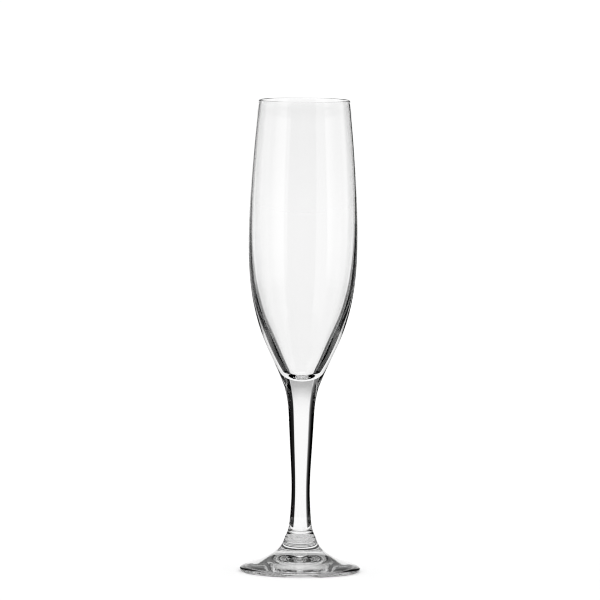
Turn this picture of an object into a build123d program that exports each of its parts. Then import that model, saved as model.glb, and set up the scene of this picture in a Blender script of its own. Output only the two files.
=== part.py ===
from build123d import *
import os

# A champagne flute in clear glass: a blown bowl with a heavy base, a solid drawn stem and a
# pressed foot, fused together in a line.  Millimetres, Z up, standing on Z = 0 with the axis
# of the glass on the Z axis.  Every piece is an outline of radius and height spun round it.

# overall
HEIGHT = 225.0
FOOT_RADIUS = 28.7
BOWL_RADIUS = 25.9
RIM_RADIUS = 21.75

# bowl: the wall leans inwards at the rim, by so many degrees, and thickens downwards
RIM_WALL = 0.72
RIM_LEAN = 6.5
WIDEST_HEIGHT = 155.0
CAVITY_FLOOR = 92.4
CAVITY_TIP_RADIUS = 7.4
CAVITY_TIP_RISE = 4.6

# joint of bowl and stem: the base of the bowl is domed and sits in the dished head of the stem
SEAM_HEIGHT = 89.0
SEAM_RADIUS = 8.55
SEAM_DEPTH = 2.5

# stem
WAIST_HEIGHT = 38.0
WAIST_RADIUS = 4.4

# joint of stem and foot: the flared end of the stem is domed and sits in the top of the boss
BOSS_HEIGHT = 16.8
BOSS_RADIUS = 7.2
BOSS_DEPTH = 1.0

# foot: its top slopes, by so many degrees at the edge, and only a flat ring touches the table;
# inside the ring the underside is hollowed, and the hollow sets off at this slope
EDGE_ROUND = 1.05
EDGE_SLOPE = 22.0
RING_RADIUS = 25.4
HOLLOW_RISE = 6.0
HOLLOW_SLOPE = 0.2


def dished(radius, height, depth):
    """The round-bottomed line of a joint, from the axis out to the surface of the glass."""
    return TangentArc((0, height - depth), (radius, height), tangent=(1, 0))


def smooth(*points, start, end):
    """A curve through the points, with the directions that it sets out and arrives in."""
    return Spline(*points, tangents=[start, end], tangent_scalars=[1, 1])


def spun(*edges):
    """Spin a closed outline of radius and height round the upright axis."""
    return revolve(Plane.XZ * make_face(edges), Axis.Z)


def bowl():
    rim_round = RIM_WALL / 2
    rim_centre = (RIM_RADIUS - rim_round, HEIGHT - rim_round)
    rim = CenterArc(rim_centre, rim_round, start_angle=RIM_LEAN, arc_size=180)
    outside = smooth(
        (SEAM_RADIUS, SEAM_HEIGHT),
        (13.6, 100.6),
        (18.0, 110.2),
        (22.6, 124.5),
        (25.05, 138.9),
        (BOWL_RADIUS, WIDEST_HEIGHT),
        (25.1, 184.0),
        rim @ 0,
        start=(0.38, 1.0),
        end=rim % 0,
    )
    floor = TangentArc(
        (0, CAVITY_FLOOR),
        (CAVITY_TIP_RADIUS, CAVITY_FLOOR + CAVITY_TIP_RISE),
        tangent=(1, 0),
    )
    inside = smooth(
        floor @ 1,
        (12.4, 107.0),
        (18.7, 120.7),
        (22.0, 132.0),
        (24.0, 145.7),
        (24.8, 163.0),
        (24.35, 184.0),
        rim @ 1,
        start=floor % 1,
        end=-(rim % 1),
    )
    axis = Line((0, SEAM_HEIGHT - SEAM_DEPTH), floor @ 0)
    return spun(dished(SEAM_RADIUS, SEAM_HEIGHT, SEAM_DEPTH), outside, rim, inside, floor, axis)


def stem():
    outside = smooth(
        (BOSS_RADIUS, BOSS_HEIGHT),
        (5.75, 20.4),
        (5.05, 25.5),
        (WAIST_RADIUS, WAIST_HEIGHT),
        (4.85, 52.0),
        (5.9, 71.0),
        (6.75, 81.5),
        (SEAM_RADIUS, SEAM_HEIGHT),
        start=(-0.6, 1.0),
        end=(0.34, 1.0),
    )
    axis = Line((0, BOSS_HEIGHT - BOSS_DEPTH), (0, SEAM_HEIGHT - SEAM_DEPTH))
    return spun(
        dished(BOSS_RADIUS, BOSS_HEIGHT, BOSS_DEPTH),
        outside,
        dished(SEAM_RADIUS, SEAM_HEIGHT, SEAM_DEPTH),
        axis,
    )


def foot():
    edge_centre = (FOOT_RADIUS - EDGE_ROUND, EDGE_ROUND)
    edge = CenterArc(edge_centre, EDGE_ROUND, start_angle=90 - EDGE_SLOPE, arc_size=EDGE_SLOPE - 180)
    top = smooth(
        (BOSS_RADIUS, BOSS_HEIGHT),
        (8.1, 14.3),
        (10.4, 10.7),
        (14.7, 7.5),
        (21.2, 4.6),
        edge @ 0,
        start=(0.25, -1.0),
        end=edge % 0,
    )
    ring = Line(edge @ 1, (RING_RADIUS, 0))
    hollow = smooth(ring @ 1, (0, HOLLOW_RISE), start=(-1, HOLLOW_SLOPE), end=(-1, 0))
    axis = Line((0, HOLLOW_RISE), (0, BOSS_HEIGHT - BOSS_DEPTH))
    return spun(dished(BOSS_RADIUS, BOSS_HEIGHT, BOSS_DEPTH), top, edge, ring, hollow, axis)


os.makedirs("parts", exist_ok=True)
for name, piece in {"bowl": bowl(), "stem": stem(), "foot": foot()}.items():
    piece.label = name
    export_step(piece, f"parts/{name}.step")
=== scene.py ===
import math

import bpy
import numpy as np
from mathutils import Matrix, Vector


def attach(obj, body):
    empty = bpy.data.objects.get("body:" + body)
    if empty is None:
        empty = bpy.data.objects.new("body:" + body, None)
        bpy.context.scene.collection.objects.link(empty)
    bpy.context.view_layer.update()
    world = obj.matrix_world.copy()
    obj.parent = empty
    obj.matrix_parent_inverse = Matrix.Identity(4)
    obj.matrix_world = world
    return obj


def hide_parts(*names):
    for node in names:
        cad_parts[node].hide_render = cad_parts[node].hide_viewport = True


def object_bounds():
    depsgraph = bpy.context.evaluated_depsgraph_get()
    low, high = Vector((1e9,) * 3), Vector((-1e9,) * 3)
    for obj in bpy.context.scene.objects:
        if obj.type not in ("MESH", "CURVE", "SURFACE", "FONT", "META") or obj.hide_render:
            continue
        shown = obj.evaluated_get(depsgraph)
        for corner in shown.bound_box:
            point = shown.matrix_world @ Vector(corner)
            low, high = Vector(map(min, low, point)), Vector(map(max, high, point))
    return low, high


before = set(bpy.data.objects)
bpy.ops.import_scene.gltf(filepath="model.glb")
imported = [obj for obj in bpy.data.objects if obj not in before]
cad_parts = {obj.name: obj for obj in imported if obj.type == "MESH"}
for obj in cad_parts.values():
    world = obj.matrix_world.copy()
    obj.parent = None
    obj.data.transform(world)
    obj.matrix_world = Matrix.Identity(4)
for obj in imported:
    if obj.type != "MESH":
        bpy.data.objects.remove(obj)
cad_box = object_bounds()

# A champagne flute in clear glass, standing on the floor at the origin and seen from -Y.  Lengths
# in the studio are in heights of the glass.
HEIGHT = cad_box[1].z

# Meshes of the glass: facets round each piece, the longest step (metres) and turn along its outline,
# the turn that counts as a corner, and the steps between two CAD points when a curve is measured.
FACETS = 256
STEP = 0.0012
TURN = math.radians(5)
CORNER = math.radians(25)
FINE_STEPS = 40

# Glass: how the surface waves, how it is smeared where the noise is high, and how it is scuffed
# underneath.  Sizes, depths and heights are in metres.
IOR = 1.5
WAVE_SIZE = 0.02
WAVE_DEPTH = 0.000004
SMEAR_SIZE = 0.03
SMEAR_START = 0.55
SMEAR_FULL = 0.8
SMEAR_ROUGHNESS = 0.012
SCUFF_HEIGHT = 0.0003
SCUFF_ROUGHNESS = 0.35

# Camera: a long lens, how far off, how high, where its middle points and how far it leans.
CAMERA_DISTANCE = 14.5
CAMERA_HEIGHT = 1.743
AIM_HEIGHT = 0.5764
CAMERA_ASIDE = -0.0054
CAMERA_ROLL = math.radians(0.576)
LENS = 412.7
SIGHT = 900

# Light: a white room, with a pale floor and a bright backdrop that gets dimmer upwards.
ROOM = 1.1
FLOOR = 0.95
FLOOR_REACH = 260
BACKDROP_RADIUS = 8.9
BACKDROP_REACH = [(-60, 1), (60, 1)]
BACKDROP_UP = [(0, 1.045), (1.07, 0.95), (1.78, 0.78), (2.67, 0.62), (3.73, 0.5), (17.8, 0.4)]

# Cards stand in a ring round the glass and leave a window on the backdrop.  Each is a list of
# (degrees from straight behind the glass and + to the right, radiance), and each ring is a list of
# (radius, height, share of the radiance).  The low ring starts on the floor and is nearly black.
# The levels were first found by a lighting fit, then cut down, rounded and changed.
LOW_RING = [(0.2, 0.0018, 1), (0.49, 0.0018, 1), (0.49, 0.5, 1)]
HIGH_RING = [(0.49, 0.5, 0.5), (0.57, 0.64, 1), (0.82, 1.07, 1), (0.83, 1.09, 0), (0.83, 2.667, 0)]
LOW_LEFT = [(-110, 0), (-44, 0), (-36, 0.02), (-30, 0.08), (-26, 0.3), (-23, 0.9)]
LOW_RIGHT = [(23, 0.9), (26, 0.02), (52, 0), (94, 0)]
LOW_BACK = [(94, 0), (250, 0)]
HIGH_LEFT = [(-47, 0), (-38, 0.05), (-30, 0.2), (-26, 0.5), (-24, 0.9)]
HIGH_RIGHT = [(24, 0.9), (27, 0), (52, 0)]
SOFTBOX_LEFT = [(-147, 0.75), (-116, 0.65), (-100, 0.3), (-90, 0.4), (-80, 0.75), (-54, 0.65), (-47, 0)]
SOFTBOX_RIGHT = [(52, 0), (60, 0.4), (80, 0.75), (92, 0.3), (100, 0.4), (116, 0.75), (130, 0.85)]
HIGH_BACK = [(130, 0.85), (133, 0.08), (210, 0.1), (213, 0.75)]
CARD_STEP = 3

# Light goes through many faces of glass, and the lines that it draws are thin.
GLASS_BOUNCES = 40
MIRROR_BOUNCES = 20
PIXEL_FILTER = 1.0


# --- the glass as meshes ---


def cubic(knots, values, at):
    """A smooth (C2) curve through the values at the knots, read off at other places."""
    gap = np.diff(knots)
    slope = np.diff(values, axis=0) / gap[:, None]
    n = len(knots)
    system = np.eye(n)
    right = np.zeros_like(values)
    for i in range(1, n - 1):
        system[i, i - 1 : i + 2] = gap[i - 1], 2 * (gap[i - 1] + gap[i]), gap[i]
        right[i] = 6 * (slope[i] - slope[i - 1])
    if n > 3:
        system[0, :3] = gap[1], -(gap[0] + gap[1]), gap[0]
        system[-1, -3:] = gap[-1], -(gap[-2] + gap[-1]), gap[-2]
    bend = np.linalg.solve(system, right)
    i = np.clip(np.searchsorted(knots, at, side="right") - 1, 0, n - 2)
    past = (at - knots[i])[:, None]
    wide = gap[i][:, None]
    return (
        values[i]
        + past * (slope[i] - wide * (2 * bend[i] + bend[i + 1]) / 6)
        + past**2 * bend[i] / 2
        + past**3 * (bend[i + 1] - bend[i]) / (6 * wide)
    )


def outline(node):
    """A CAD node's outline of radius and height, from the axis round to the axis again."""
    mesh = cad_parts[node].data
    nearly = 1e-6
    points = {}
    for v in mesh.vertices:
        if abs(v.co.y) < nearly and v.co.x > -nearly:
            points[v.index] = (round(abs(v.co.x), 7), round(v.co.z, 7))
    joined = {}
    for e in mesh.edges:
        a, b = (points.get(i) for i in e.vertices)
        if a and b and a != b:
            joined.setdefault(a, set()).add(b)
            joined.setdefault(b, set()).add(a)
    ends = sorted((p for p in joined if len(joined[p]) == 1), key=lambda p: p[1])
    line = [ends[0]]
    while len(line) < 2 or line[-1] not in ends:
        line.append(next(p for p in joined[line[-1]] if p not in line[-2:]))
    return np.array(line)


def headings(line):
    """The direction of each run of a line, without jumps."""
    run = np.diff(line, axis=0)
    return np.unwrap(np.arctan2(run[:, 1], run[:, 0]))


def stretches(line):
    """The outline cut at its corners, each stretch smoothed and divided by length and turn."""
    corners = [i + 1 for i in np.flatnonzero(abs(np.diff(headings(line))) > CORNER)]
    cuts = [0, *corners, len(line) - 1]
    made = []
    for a, b in zip(cuts, cuts[1:]):
        coarse = line[a : b + 1]
        knots = np.concatenate([[0], np.cumsum(np.hypot(*np.diff(coarse, axis=0).T))])
        fine = np.linspace(0, knots[-1], FINE_STEPS * (b - a) + 1)
        curve = cubic(knots, coarse, fine)
        step = np.hypot(*np.diff(curve, axis=0).T)
        turn = np.concatenate([[0], abs(np.diff(headings(curve)))])
        cost = np.concatenate([[0], np.cumsum(step / STEP + turn / TURN)])
        count = max(3, math.ceil(cost[-1]) + 1)
        even = np.interp(np.linspace(0, cost[-1], count), cost, fine)
        points = cubic(knots, coarse, even)
        points[:, 1] = np.maximum(points[:, 1], 0)
        made.append(points)
    return made


def lathe(name, node, clear, joint, joints):
    """Spin a node's outline into a closed mesh; joints are the stretches that meet another piece."""
    parts = stretches(outline(node))
    line = np.concatenate([parts[0]] + [p[1:] for p in parts[1:]])
    slot = np.concatenate([[int(i in joints)] * (len(p) - 1) for i, p in enumerate(parts)])
    corners = set(np.cumsum([len(p) - 1 for p in parts])[:-1])
    angle = np.arange(FACETS) * 2 * math.pi / FACETS
    rings = line[1:-1]
    x = np.outer(rings[:, 0], np.cos(angle))
    y = np.outer(rings[:, 0], np.sin(angle))
    z = np.repeat(rings[:, 1:], FACETS, axis=1)
    body = np.stack([x, y, z], axis=-1).reshape(-1, 3)
    verts = [*body, (0, 0, line[0, 1]), (0, 0, line[-1, 1])]
    first, last = len(body), len(body) + 1
    top = (len(rings) - 1) * FACETS
    faces = []
    slots = []
    for j in range(FACETS):
        k = (j + 1) % FACETS
        faces.append((first, k, j))
        slots.append(slot[0])
        for i in range(len(rings) - 1):
            a, b = i * FACETS, (i + 1) * FACETS
            faces.append((a + j, a + k, b + k, b + j))
            slots.append(slot[i + 1])
        faces.append((top + j, top + k, last))
        slots.append(slot[-1])
    mesh = bpy.data.meshes.new(name)
    mesh.from_pydata(verts, [], faces)
    mesh.validate()
    mesh.materials.append(clear)
    mesh.materials.append(joint)
    mesh.polygons.foreach_set("material_index", slots)
    mesh.polygons.foreach_set("use_smooth", [True] * len(faces))
    sharp = mesh.attributes.new("sharp_edge", "BOOLEAN", "EDGE")
    for e in mesh.edges:
        a, b = e.vertices
        if a < first and b < first and a // FACETS == b // FACETS and a // FACETS + 1 in corners:
            sharp.data[e.index].value = True
    return linked(name, mesh)


def linked(name, data):
    """A new object in the scene."""
    obj = bpy.data.objects.new(name, data)
    bpy.context.scene.collection.objects.link(obj)
    return obj


# --- materials ---


def material(name):
    """A new material and its Principled shader."""
    made = bpy.data.materials.new(name)
    made.use_nodes = True
    return made, made.node_tree.nodes["Principled BSDF"]


def noise(tree, place, size, stretch):
    """Soft noise with patches of a size in metres, stretched that many times sideways."""
    squash = tree.nodes.new("ShaderNodeMapping")
    squash.inputs["Scale"].default_value = (1 / stretch, 1 / stretch, 1)
    pattern = tree.nodes.new("ShaderNodeTexNoise")
    pattern.inputs["Scale"].default_value = 1 / size
    pattern.inputs["Detail"].default_value = 3
    tree.links.new(place, squash.inputs["Vector"])
    tree.links.new(squash.outputs["Vector"], pattern.inputs["Vector"])
    return pattern.outputs[0]


def ramp(tree, value, start, end, before, after):
    """Map a value from start..end to before..after."""
    node = tree.nodes.new("ShaderNodeMapRange")
    limits = ("From Min", start), ("From Max", end), ("To Min", before), ("To Max", after)
    for socket, number in limits:
        node.inputs[socket].default_value = number
    tree.links.new(value, node.inputs["Value"])
    return node.outputs["Result"]


def glass():
    """Clear glass that waves a little, with faint smears, and scuffed where it stands."""
    made, shader = material("clear_glass")
    tree = made.node_tree
    shader.inputs["Base Color"].default_value = (1, 1, 1, 1)
    shader.inputs["Transmission Weight"].default_value = 1
    shader.inputs["IOR"].default_value = IOR
    place = tree.nodes.new("ShaderNodeTexCoord").outputs["Object"]
    split = tree.nodes.new("ShaderNodeSeparateXYZ")
    tree.links.new(place, split.inputs["Vector"])

    smear = ramp(tree, noise(tree, place, SMEAR_SIZE, 2), SMEAR_START, SMEAR_FULL, 0, SMEAR_ROUGHNESS)
    scuff = ramp(tree, split.outputs["Z"], 0, SCUFF_HEIGHT, SCUFF_ROUGHNESS, 0)
    rough = tree.nodes.new("ShaderNodeMath")
    rough.operation = "MAXIMUM"
    tree.links.new(smear, rough.inputs[0])
    tree.links.new(scuff, rough.inputs[1])
    tree.links.new(rough.outputs["Value"], shader.inputs["Roughness"])

    wave = tree.nodes.new("ShaderNodeBump")
    wave.inputs["Strength"].default_value = 1
    wave.inputs["Distance"].default_value = WAVE_DEPTH
    tree.links.new(noise(tree, place, WAVE_SIZE, 1), wave.inputs["Height"])
    tree.links.new(wave.outputs["Normal"], shader.inputs["Normal"])
    return made


def fused():
    """The face where two pieces of glass are fused: light passes it straight."""
    made, shader = material("fused_joint")
    shader.inputs["Base Color"].default_value = (1, 1, 1, 1)
    shader.inputs["Transmission Weight"].default_value = 1
    shader.inputs["IOR"].default_value = 1
    shader.inputs["Roughness"].default_value = 0
    return made


def matt(name, albedo):
    """A plain surface without any gloss."""
    made, shader = material(name)
    shader.inputs["Base Color"].default_value = (albedo, albedo, albedo, 1)
    shader.inputs["Roughness"].default_value = 1
    shader.inputs["Specular IOR Level"].default_value = 0
    return made


def glowing():
    """The cards' material: each corner shines as its "radiance" says.

    Light on its way from the floor gets the room's light here, so that the cards don't shade
    the floor under the foot.
    """
    made, shader = material("glowing_card")
    tree = made.node_tree
    tree.nodes.remove(shader)
    level = tree.nodes.new("ShaderNodeAttribute")
    level.attribute_name = "radiance"
    path = tree.nodes.new("ShaderNodeLightPath")
    pick = tree.nodes.new("ShaderNodeMix")
    pick.inputs["B"].default_value = ROOM
    shine = tree.nodes.new("ShaderNodeEmission")
    tree.links.new(path.outputs["Diffuse Depth"], pick.inputs["Factor"])
    tree.links.new(level.outputs["Fac"], pick.inputs["A"])
    tree.links.new(pick.outputs["Result"], shine.inputs["Strength"])
    tree.links.new(shine.outputs[0], tree.nodes["Material Output"].inputs["Surface"])
    made.cycles.emission_sampling = "NONE"
    return made


# --- studio ---


def card(name, ring, around, glow, rig):
    """A curved card round the glass, seen only in the glass; ring and around as at the top."""
    azimuths, levels = zip(*around)
    evenly = np.linspace(azimuths[0], azimuths[-1], 1 + round((azimuths[-1] - azimuths[0]) / CARD_STEP))
    across = np.unique(np.concatenate([evenly, azimuths]))
    verts = []
    radiance = []
    for a in across:
        for radius, height, share in ring:
            out = Vector((math.sin(math.radians(a)), math.cos(math.radians(a)), 0)) * radius
            verts.append((out + Vector((0, 0, height))) * HEIGHT)
            radiance.append(np.interp(a, azimuths, levels) * share)
    tall = len(ring)
    faces = []
    for i in range(len(across) - 1):
        for k in range(tall - 1):
            corner = i * tall + k
            faces.append((corner, corner + 1, corner + tall + 1, corner + tall))
    mesh = bpy.data.meshes.new(name)
    mesh.from_pydata(verts, [], faces)
    mesh.attributes.new("radiance", "FLOAT", "POINT").data.foreach_set("value", radiance)
    mesh.materials.append(glow)
    obj = linked(name, mesh)
    obj.parent = rig
    obj.visible_camera = False
    obj.visible_diffuse = False
    obj.visible_shadow = False


def floor():
    """A pale floor that reaches past the horizon of the picture."""
    mesh = bpy.data.meshes.new("floor")
    far = FLOOR_REACH * HEIGHT
    mesh.from_pydata([(-far, -far, 0), (far, -far, 0), (far, far, 0), (-far, far, 0)], [], [(0, 1, 2, 3)])
    mesh.materials.append(matt("pale_floor", FLOOR))
    linked("floor", mesh)


def room():
    """An evenly white room."""
    world = bpy.data.worlds.new("room")
    bpy.context.scene.world = world
    world.use_nodes = True
    background = world.node_tree.nodes["Background"]
    background.inputs["Color"].default_value = (1, 1, 1, 1)
    background.inputs["Strength"].default_value = ROOM


def look():
    """The camera, at the height and the long lens of a product shot."""
    camera = linked("camera", bpy.data.cameras.new("camera"))
    bpy.context.scene.camera = camera
    camera.data.lens = LENS
    camera.data.clip_end = SIGHT * HEIGHT
    place = Vector((CAMERA_ASIDE, -CAMERA_DISTANCE, CAMERA_HEIGHT)) * HEIGHT
    aim = Vector((CAMERA_ASIDE, 0, AIM_HEIGHT)) * HEIGHT
    turn = (aim - place).to_track_quat("-Z", "Y").to_matrix().to_4x4()
    camera.matrix_world = Matrix.Translation(place) @ turn @ Matrix.Rotation(CAMERA_ROLL, 4, "Z")
    return camera


def lights(camera):
    """The backdrop and the cards, on a rig that turns with the camera like a turntable."""
    rig = linked("light_rig", None)
    turn = rig.constraints.new("LOCKED_TRACK")
    turn.target = camera
    turn.track_axis = "TRACK_NEGATIVE_Y"
    turn.lock_axis = "LOCK_Z"
    glow = glowing()
    wall = [(BACKDROP_RADIUS, height, level) for height, level in BACKDROP_UP]
    card("backdrop", wall, BACKDROP_REACH, glow, rig)
    for name, around in (("left", LOW_LEFT), ("right", LOW_RIGHT), ("back", LOW_BACK)):
        card("low_" + name, LOW_RING, around, glow, rig)
    for name, around in (("left", HIGH_LEFT), ("right", HIGH_RIGHT), ("back", HIGH_BACK)):
        card("high_" + name, HIGH_RING, around, glow, rig)
    for name, around in (("left", SOFTBOX_LEFT), ("right", SOFTBOX_RIGHT)):
        card("softbox_" + name, HIGH_RING, around, glow, rig)


clear = glass()
joint = fused()
for node, joints in (("bowl", [0]), ("stem", [0, 2]), ("foot", [1])):
    piece = lathe("flute_" + node, node, clear, joint, joints)
    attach(piece, "root")
    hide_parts(node)

floor()
room()
lights(look())

scene = bpy.context.scene
scene.view_settings.view_transform = "Standard"
scene.cycles.max_bounces = GLASS_BOUNCES
scene.cycles.transmission_bounces = GLASS_BOUNCES
scene.cycles.glossy_bounces = MIRROR_BOUNCES
scene.cycles.filter_width = PIXEL_FILTER
